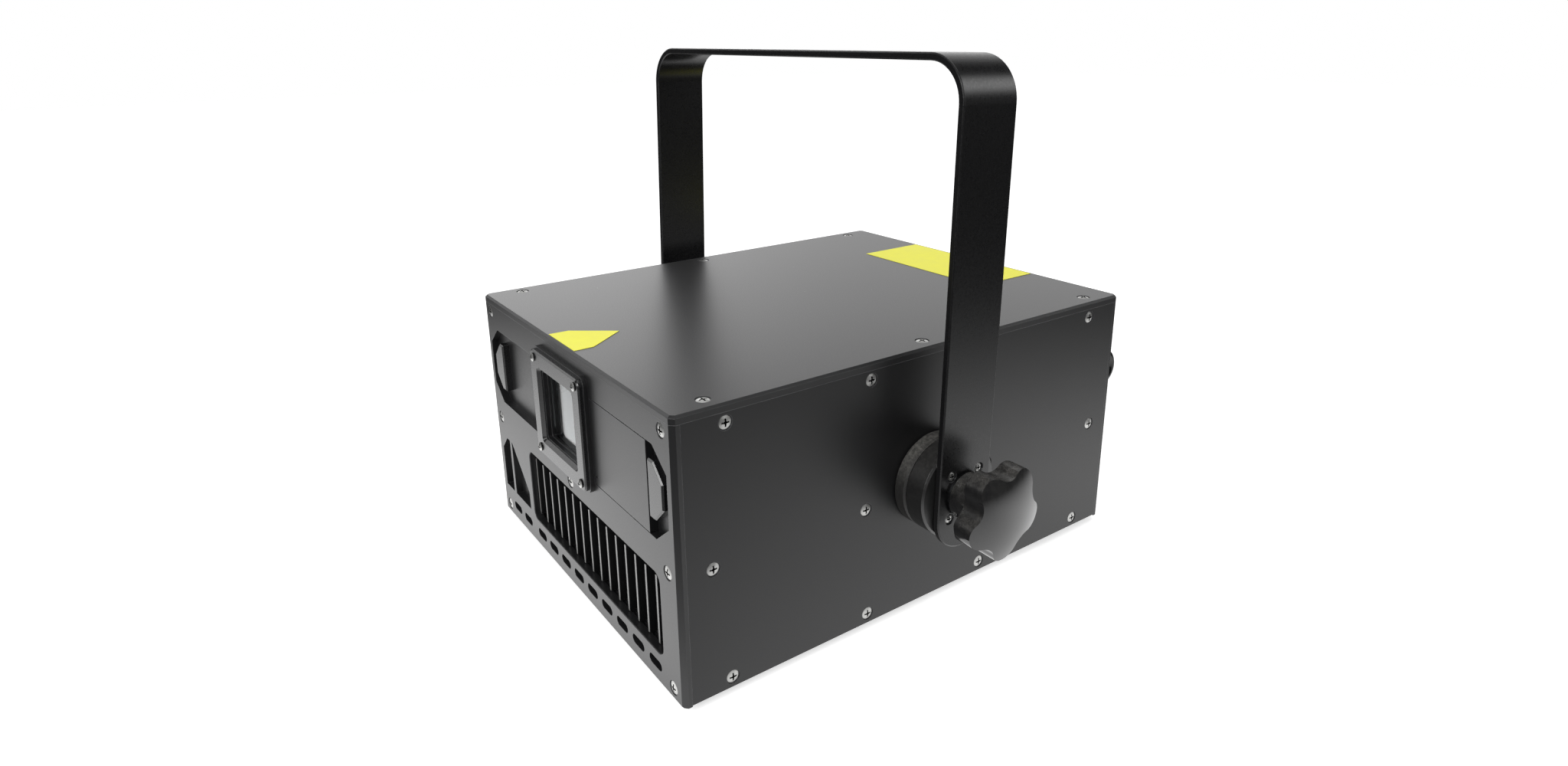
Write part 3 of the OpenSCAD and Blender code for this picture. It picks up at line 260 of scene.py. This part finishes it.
def lay_over(material, amount, colour):
    """Lays a colour over a finish, as far as a pattern says that runs from 0 to 1."""
    tree = material.node_tree
    base = shader_of(material).inputs["Base Color"]
    under = base.links[0].from_socket if base.is_linked else tuple(base.default_value)
    # In a mix of colours, sockets 6 and 7 are the two colours, and output 2 is their mix.
    mixed = add_node(tree, "ShaderNodeMix", {0: amount, 6: under, 7: linear(colour)},
                     data_type="RGBA")
    tree.links.new(mixed.outputs[2], base)


def roughen(material, pattern, smooth, rough, low=0.3, high=0.7):
    """Lets the roughness run from smooth to rough where a pattern runs from low to high."""
    tree = material.node_tree
    spread = add_node(tree, "ShaderNodeMapRange",
                      {"Value": pattern, 1: low, 2: high, 3: smooth, 4: rough})
    tree.links.new(spread.outputs[0], shader_of(material).inputs["Roughness"])


def paint_edge_highlights(material, colour, width_mm=0.5):
    """Paints a pale line along a finish's edges, unevenly in patches, as a painted highlight where
    they catch the light.
    """
    patch_mm = 14.0
    tree = material.node_tree
    flat = add_node(tree, "ShaderNodeNewGeometry").outputs["Normal"]
    rounded = add_node(tree, "ShaderNodeBevel", {"Radius": width_mm / 1000}, samples=4).outputs[0]
    flatness = add_node(tree, "ShaderNodeVectorMath", {0: flat, 1: rounded},
                        operation="DOT_PRODUCT").outputs["Value"]
    place = add_node(tree, "ShaderNodeTexCoord").outputs["Object"]
    patches = add_node(tree, "ShaderNodeTexNoise",
                       {"Vector": place, "Scale": per_mm(patch_mm), "Detail": 4.0}).outputs[0]
    edge_highlight = soft_steps(tree, (flatness, 0.75, 0.985, 1.0, 0.0), (patches, 0.3, 0.6, 0.35, 1.0))
    lay_over(material, edge_highlight, colour)


def anodised(name, dark, light, rough, ior=1.5, grain_mm=0.7):
    """Black anodised aluminium, its dye in broad clouds. The real blast grit is 0.1 mm, drawn
    coarser so that it shows."""
    cloud_mm = 70.0
    material = new_material(name, {"Base Color": linear(dark), "IOR": ior})
    tree = material.node_tree
    grain = give_grain(material, grain_mm, depth_mm=0.004)
    place = add_node(tree, "ShaderNodeTexCoord").outputs["Object"]
    clouds = add_node(tree, "ShaderNodeTexNoise",
                      {"Vector": place, "Scale": per_mm(cloud_mm), "Detail": 4.0}).outputs[0]
    lay_over(material, clouds, light)
    # A pale painted highlight is laid along the edges.
    paint_edge_highlights(material, "#5c5c5e")
    roughen(material, grain, rough - 0.05, rough + 0.05)
    return material


def paint_nodes(material, *names):
    """Gives the CAD's pieces of these names their finish."""
    for name in names:
        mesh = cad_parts[name].data
        mesh.materials.clear()
        mesh.materials.append(material)


sheet_black = anodised("black_anodised_sheet", "#141415", "#19191a", rough=0.4)
paint_nodes(sheet_black, "side_panel_left", "side_panel_right", "base_plate", "rear_plate")

# The rails, the optical bench and the combiner's mounts are milled aluminium, left bare because
# the panels hide them. The cutter leaves parallel tool lines about 2 mm apart, so the bare metal
# glints in stripes. A wave pattern of scale 1 repeats every pi / 10 m.
milled = new_material("milled_aluminium", {"Base Color": linear("#a9abad"), "Metallic": 1.0})
tool_line_mm = 1.973
wave_at_scale_1 = math.pi / 10
place = add_node(milled.node_tree, "ShaderNodeTexCoord").outputs["Object"]
tool_lines = add_node(milled.node_tree, "ShaderNodeTexWave",
                      {"Vector": place, "Scale": wave_at_scale_1 * per_mm(tool_line_mm),
                       "Distortion": 0.6}).outputs[1]
lay_over(milled, tool_lines, "#b9bbbd")
roughen(milled, tool_lines, smooth=0.28, rough=0.38)
paint_nodes(milled, "lower_rails", "upper_rails", "optical_bench", "combiner_mounts")

# The front plate, its cover panel, the plate behind its windows and the spacer are milled from
# thicker stock and anodised with the rest. Their skin is slightly glossier than the sides'. The
# bezel, the end blocks and the scanner block are finer blasted, so they shine most.
front_black = anodised("black_anodised_front", "#161617", "#1c1c1d", rough=0.36, ior=1.55)
paint_nodes(front_black, "front_plate", "cover_panel", "front_backing", "aperture_spacer")
trim_black = anodised("black_anodised_trim", "#111112", "#171718", rough=0.26, ior=1.65,
                      grain_mm=0.5)
paint_nodes(trim_black, "end_block_left", "end_block_right", "aperture_bezel", "galvo_block")

# The lid is the same anodised aluminium, wiped more often than the sides, so its skin is shinier.
# A few pale specks of dust lie on it, none wider than 1 mm. The pattern has a small ball in
# nearly half of its 13 mm cells, and a speck is where the lid's face cuts one of them.
lid_black = anodised("black_anodised_lid", "#171718", "#1d1d1e", rough=0.38, ior=1.55)
cell_mm, widest_speck_mm, share_empty = 13.0, 0.91, 0.55
tree = lid_black.node_tree
place = add_node(tree, "ShaderNodeTexCoord").outputs["Object"]
cells = add_node(tree, "ShaderNodeTexVoronoi", {"Vector": place, "Scale": per_mm(cell_mm)}).outputs
lot = add_node(tree, "ShaderNodeSeparateColor", {0: cells["Color"]}).outputs[0]
speck_r = add_node(tree, "ShaderNodeMapRange",
                   {"Value": lot, 1: share_empty, 2: 1.0,
                    3: 0.0, 4: widest_speck_mm / 2 / cell_mm}).outputs[0]
specks = add_node(tree, "ShaderNodeMath", {0: cells["Distance"], 1: speck_r},
                  operation="LESS_THAN").outputs[0]
lay_over(lid_black, specks, "#8c8c8a")
paint_nodes(lid_black, "lid")


# Two blank labels of yellow vinyl film lie flat on the lid: a pointed one behind the aperture
# and a broad one along the rear. They are die cut and 0.25 mm thick, and the soft film ripples a
# little over patches of 9 mm, which breaks up its weak shine.
def grained(name, dark, light, smooth, rough, grain_mm, depth_mm,
            edge_mm=0.3, metallic=0.0, ior=1.5, detail=3.0):
    """A finish whose colour and roughness run with its grain."""
    material = new_material(name, {"Base Color": linear(dark), "Metallic": metallic, "IOR": ior})
    grain = give_grain(material, grain_mm, depth_mm, edge_mm, detail)
    lay_over(material, grain, light)
    roughen(material, grain, smooth, rough)
    return material


yellow_film = grained("yellow_vinyl_film", "#e0dd4a", "#ece956", smooth=0.5, rough=0.6,
                      grain_mm=9.0, depth_mm=0.03, edge_mm=0.1, ior=1.3)
film_mm = 0.25
lid_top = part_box("lid")[1].z
for name, outline_mm in (
        ("label_pointed", ((19, -180), (19, -167), (0, -141), (-20, -167), (-21, -180))),
        ("label_broad", ((65, 122), (65, 179), (-64, 179), (-64, 122)))):
    corners = len(outline_mm)
    points = [(x / 1000, y / 1000, z) for z in (lid_top, lid_top + film_mm / 1000)
              for x, y in outline_mm]
    under_face, upper_face = tuple(reversed(range(corners))), tuple(range(corners, 2 * corners))
    cut_edges = [(i, (i + 1) % corners, corners + (i + 1) % corners, corners + i)
                 for i in range(corners)]
    film_mesh = bpy.data.meshes.new(name)
    film_mesh.from_pydata(points, [], [under_face, upper_face] + cut_edges)
    film_mesh.materials.append(yellow_film)
    label = bpy.data.objects.new(name, film_mesh)
    scene.collection.objects.link(label)
    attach(label, "housing")

# The feet are moulded rubber and sit under the base plate. They are nearly black and so matte
# that they hardly shine. The mould's grain is drawn at 1.5 mm so that it shows.
rubber = grained("moulded_rubber", "#121212", "#1b1b1b", smooth=0.75, rough=0.9,
                 grain_mm=1.5, depth_mm=0.03)
paint_nodes(rubber, "rubber_feet")

# The screws are stainless steel, cold headed and tumbled, so they are bright but not polished.
# Their cross recesses and hollows are darkened with painted shade: near-black is laid where
# less than about nine tenths of the sky is seen within 2 mm.
steel = grained("tumbled_stainless_steel", "#a8a8a6", "#cacac8", smooth=0.34, rough=0.44,
                grain_mm=0.8, depth_mm=0.006, edge_mm=0.15, metallic=1.0)
recess_mm = 2.0
open_sky = add_node(steel.node_tree, "ShaderNodeAmbientOcclusion", {"Distance": recess_mm / 1000},
                    samples=8).outputs["AO"]
# Painted shade in the screws' recesses.
lay_over(steel, soft_steps(steel.node_tree, (open_sky, 0.55, 0.93, 1.0, 0.0)), "#080808")
paint_nodes(steel, "panel_screws", "bezel_screws", "arm_screws")

# The aperture's window is a pane of coated optical glass, cut square with ground corners. The
# real pane sits just behind the bezel, so a pane 1.8 mm behind the front plate's face stands for
# the CAD's, which lies deeper. Seen so flat, it mirrors the floor.
glass = new_material("coated_glass", {"Base Color": linear("#e8f0f2"), "Transmission Weight": 1.0,
                                      "Roughness": 0.03, "IOR": 1.6})
paint_nodes(glass, "aperture_glass")
pane_half_w, pane_half_h, corner_r, arris = 0.0249, 0.0227, 0.0019, 0.0003
corner_steps = 6
pane_mid = sum(corner.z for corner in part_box("aperture_glass")) / 2
plate_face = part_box("front_plate")[0].y
pane_front, pane_back = plate_face + 0.0018, plate_face + 0.0038
pane_points = []
for inset, y in ((arris, pane_front), (0.0, pane_front + arris),
                 (0.0, pane_back - arris), (arris, pane_back)):
    radius = corner_r - inset
    for quarter, (side, up) in enumerate(((1, 1), (-1, 1), (-1, -1), (1, -1))):
        for step in range(corner_steps + 1):
            angle = math.radians(90 * quarter + 90 * step / corner_steps)
            pane_points.append((side * (pane_half_w - corner_r) + radius * math.cos(angle), y,
                                pane_mid + up * (pane_half_h - corner_r)
                                + radius * math.sin(angle)))
ring = len(pane_points) // 4
pane_faces = [tuple(range(ring)), tuple(reversed(range(3 * ring, 4 * ring)))]
for start in (0, ring, 2 * ring):
    pane_faces += [(start + i, start + ring + i, start + ring + (i + 1) % ring,
                    start + (i + 1) % ring) for i in range(ring)]
pane_mesh = bpy.data.meshes.new("aperture_pane")
pane_mesh.from_pydata(pane_points, [], pane_faces)
pane_mesh.materials.append(glass)
pane = bpy.data.objects.new("aperture_pane", pane_mesh)
scene.collection.objects.link(pane)
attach(pane, "housing")
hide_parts("aperture_glass")

# The heatsink is an extruded aluminium comb with 15 fins, anodised black and then sawn to
# length. A pale grey line is painted along the middle of each fin's front edge as a painted
# highlight, so that thin bright lines stand in the grille.
comb = anodised("extruded_heatsink", "#0d0d0e", "#141415", rough=0.4, grain_mm=0.5)
fin_pitch, first_fin, highlight_depth = 0.013, 0.004, 0.0006
bright_half, faded_half = 0.0003, 0.0009
tree = comb.node_tree
place = add_node(tree, "ShaderNodeTexCoord").outputs["Object"]
across, along, _ = add_node(tree, "ShaderNodeSeparateXYZ", {0: place}).outputs
comb_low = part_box("heatsink")[0]
from_first = add_node(tree, "ShaderNodeMath", {0: across, 1: comb_low.x + first_fin},
                      operation="SUBTRACT").outputs[0]
from_fin = add_node(tree, "ShaderNodeMath", {0: from_first, 1: fin_pitch / 2},
                    operation="PINGPONG").outputs[0]
painted_fin_highlight = soft_steps(tree, (along, comb_low.y, comb_low.y + highlight_depth, 1.0, 0.0),
                  (from_fin, bright_half, faded_half, 1.0, 0.0))
# The pale line over the fins' front edges is a painted highlight.
lay_over(comb, painted_fin_highlight, "#8e8e8c")
paint_nodes(comb, "heatsink")

# The three laser modules have milled aluminium cases, anodised in the colour of their beam and
# bolted to the bench. The dye leaves the metal's gleam in the colour.
for name, dark, light in (("laser_red", "#7c1d17", "#8e251d"),
                          ("laser_green", "#1f6b31", "#27803c"),
                          ("laser_blue", "#1d3a8a", "#254aa6")):
    case = grained(name + "_anodised", dark, light, smooth=0.3, rough=0.42,
                   grain_mm=0.7, depth_mm=0.004, metallic=0.6)
    paint_nodes(case, name)

# The scanner's motors are turned steel, and the power supply sits in a folded steel case. Both
# are left bright, with a pale skin whose fine grain is drawn at 0.6 mm so that it shows.
turned = grained("turned_metal", "#b9bbbd", "#cfd1d3", smooth=0.2, rough=0.3,
                 grain_mm=0.6, depth_mm=0.004, metallic=1.0)
paint_nodes(turned, "galvo_motor_x", "galvo_motor_y", "power_supply")

# The scanning mirrors are thin plates with a silver coat, fixed to the motors' shafts. The coat
# is almost without flaw, so it mirrors the bench sharply.
mirror_coat = grained("mirror_coat", "#e2e6e8", "#f0f3f4", smooth=0.02, rough=0.05,
                      grain_mm=20.0, depth_mm=0.001, edge_mm=0.05, metallic=1.0)
paint_nodes(mirror_coat, "scan_mirror_x", "scan_mirror_y")

# The combiner's plates are polished glass with a filter coat, and stand in their mounts. The
# coat lets most light through and tints it blue.
filter_glass = new_material("dichroic_glass",
                            {"Base Color": linear("#9fc4dd"), "Transmission Weight": 1.0,
                             "Roughness": 0.02})
paint_nodes(filter_glass, "combiner_optics")

# The control board is glass fibre laminate under a green solder mask, which is printed on and
# cured. It gleams softly, and the copper beneath makes it slightly uneven.
board = grained("solder_mask", "#12401f", "#1b5a2c", smooth=0.3, rough=0.45,
                grain_mm=1.2, depth_mm=0.02)
paint_nodes(board, "control_board")

# The mains inlet, the data sockets and the fans at the rear are moulded in black glass-filled
# nylon. The mould's spark texture makes it dull, and is drawn at 0.9 mm so that it shows.
nylon = grained("moulded_nylon", "#151516", "#1d1d1f", smooth=0.42, rough=0.56,
                grain_mm=0.9, depth_mm=0.01)
paint_nodes(nylon, "power_inlet", "dmx_in", "dmx_out", "fan_frame_left", "fan_frame_right",
            "fan_rotor_left", "fan_rotor_right")

# The scanner socket's shell, the key switch, its plug and the key are nickel-plated. The plate
# is bright and slightly warm in tone.
nickel = grained("nickel_plate", "#a8a69f", "#c4c2ba", smooth=0.16, rough=0.26,
                 grain_mm=0.8, depth_mm=0.003, edge_mm=0.15, metallic=1.0)
paint_nodes(nickel, "ilda_socket", "key_switch", "lock_plug", "key")

# The display's window is a plate of smoked glass, ground and polished flat. It is nearly black
# while the display is off, and its shine is sharp.
window_black = grained("display_window", "#050607", "#090b0d", smooth=0.06, rough=0.1,
                       grain_mm=30.0, depth_mm=0.002)
paint_nodes(window_black, "display")

# The menu buttons' caps are moulded in pale grey ABS. The mould's light texture, drawn at 0.8 mm
# so that it shows, keeps them satin.
cap_grey = grained("moulded_button", "#b8b8b6", "#c8c8c6", smooth=0.4, rough=0.5,
                   grain_mm=0.8, depth_mm=0.01)
paint_nodes(cap_grey, "menu_button_1", "menu_button_2", "menu_button_3", "menu_button_4")

# The yoke is a flat steel strap, bent and then powder coated in satin black. The baked powder
# flows smooth and rounds the edges, so they draw soft lines of light, and a grey painted
# highlight is laid along them.
coat = grained("satin_powder_coat", "#0d0d0e", "#111112", smooth=0.26, rough=0.34,
               grain_mm=1.6, depth_mm=0.01, edge_mm=0.7)
# Grey painted highlight along the strap's edges.
paint_edge_highlights(coat, "#48484a", width_mm=0.6)
paint_nodes(coat, "yoke")


# The housing's pivot discs are sand cast and painted flat black, so they are pitted and speckled.
# The discs on the yoke's arms are turned steel under the same smooth powder coat as the yoke.
# Grey flecks of dust are laid on top of both. On the pivot discs they lie thick and stand also
# for painted light, which makes the discs paler on top than underneath.
def settle_dust_and_top_light(material, colour, fleck_mm, thickest, dusty_rough):
    """Lays grey flecks where a surface faces up, as dust and, where thick, as painted top light,
    and dulls the finish under them.
    """
    tree = material.node_tree
    coordinates = add_node(tree, "ShaderNodeTexCoord").outputs
    upward = add_node(tree, "ShaderNodeSeparateXYZ", {0: coordinates["Normal"]}).outputs[2]
    flecks = add_node(tree, "ShaderNodeTexNoise",
                      {"Vector": coordinates["Object"], "Scale": per_mm(fleck_mm),
                       "Detail": 8.0, "Roughness": 0.75}).outputs[0]
    dust_and_top_light = soft_steps(tree, (upward, 0.0, 0.95, 0.03, thickest), (flecks, 0.36, 0.68, 0.25, 1.0))
    lay_over(material, dust_and_top_light, colour)
    clean = shader_of(material).inputs["Roughness"].links[0].from_socket
    roughen(material, dust_and_top_light, clean, dusty_rough, low=0.0, high=0.5)


cast = grained("painted_sand_casting", "#0d0d0d", "#191817", smooth=0.55, rough=0.55,
               grain_mm=1.4, depth_mm=0.16, edge_mm=0.12, detail=6.0)
# Laid thick here, the grey on the discs' tops is partly painted light.
settle_dust_and_top_light(cast, "#82807b", fleck_mm=2.4, thickest=0.48, dusty_rough=0.8)
paint_nodes(cast, "pivot_disc_left", "pivot_disc_right")
coated_disc = grained("powder_coated_disc", "#0d0d0e", "#151515", smooth=0.34, rough=0.34,
                      grain_mm=2.0, depth_mm=0.02, edge_mm=0.2, ior=1.7)
settle_dust_and_top_light(coated_disc, "#6c6a66", fleck_mm=1.8, thickest=0.16, dusty_rough=0.6)
paint_nodes(coated_disc, "arm_disc_left", "arm_disc_right")

# The pivot studs and the lock washers are turned steel, zinc-plated in a barrel. The plate is
# greyer and duller than the stainless screws.
zinc = grained("zinc_plate", "#8f9092", "#a5a6a8", smooth=0.3, rough=0.42,
               grain_mm=0.8, depth_mm=0.004, edge_mm=0.15, metallic=1.0)
paint_nodes(zinc, "pivot_studs", "lock_washer_left", "lock_washer_right")

# The lock knobs are moulded phenolic with a polished face, dusty where they face up. They shine
# so sharply that doubled points at the dome's top would draw a dark dot, so copies with those
# points merged and the normals worked out anew stand for the CAD's knobs.
phenolic = grained("polished_phenolic", "#131314", "#1a1a1b", smooth=0.09, rough=0.09,
                   grain_mm=2.5, depth_mm=0.004, edge_mm=0.0, ior=1.75)
settle_dust_and_top_light(phenolic, "#6e6c68", fleck_mm=5.0, thickest=0.36, dusty_rough=0.4)
paint_nodes(phenolic, "lock_knob_left", "lock_knob_right")
doubled_within = 0.00002
sharp_from = math.radians(32)
for side in ("left", "right"):
    node_name = "lock_knob_" + side
    knob_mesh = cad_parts[node_name].data.copy()
    shape = bmesh.new()
    shape.from_mesh(knob_mesh)
    bmesh.ops.remove_doubles(shape, verts=shape.verts, dist=doubled_within)
    bmesh.ops.dissolve_degenerate(shape, edges=shape.edges, dist=doubled_within)
    shape.to_mesh(knob_mesh)
    shape.free()
    if "custom_normal" in knob_mesh.attributes:
        knob_mesh.attributes.remove(knob_mesh.attributes["custom_normal"])
    knob_mesh.shade_smooth()
    knob_mesh.set_sharp_from_angle(angle=sharp_from)
    knob = bpy.data.objects.new("polished_knob_" + side, knob_mesh)
    scene.collection.objects.link(knob)
    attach(knob, node_name)
    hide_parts(node_name)

# The safety eye is forged steel, dipped in gloss black enamel. The enamel flows thick and
# smooth, so the ring carries one sharp line of light.
enamel = grained("gloss_enamel", "#0c0c0d", "#121213", smooth=0.1, rough=0.16,
                 grain_mm=3.0, depth_mm=0.01, edge_mm=0.4)
paint_nodes(enamel, "safety_eye")
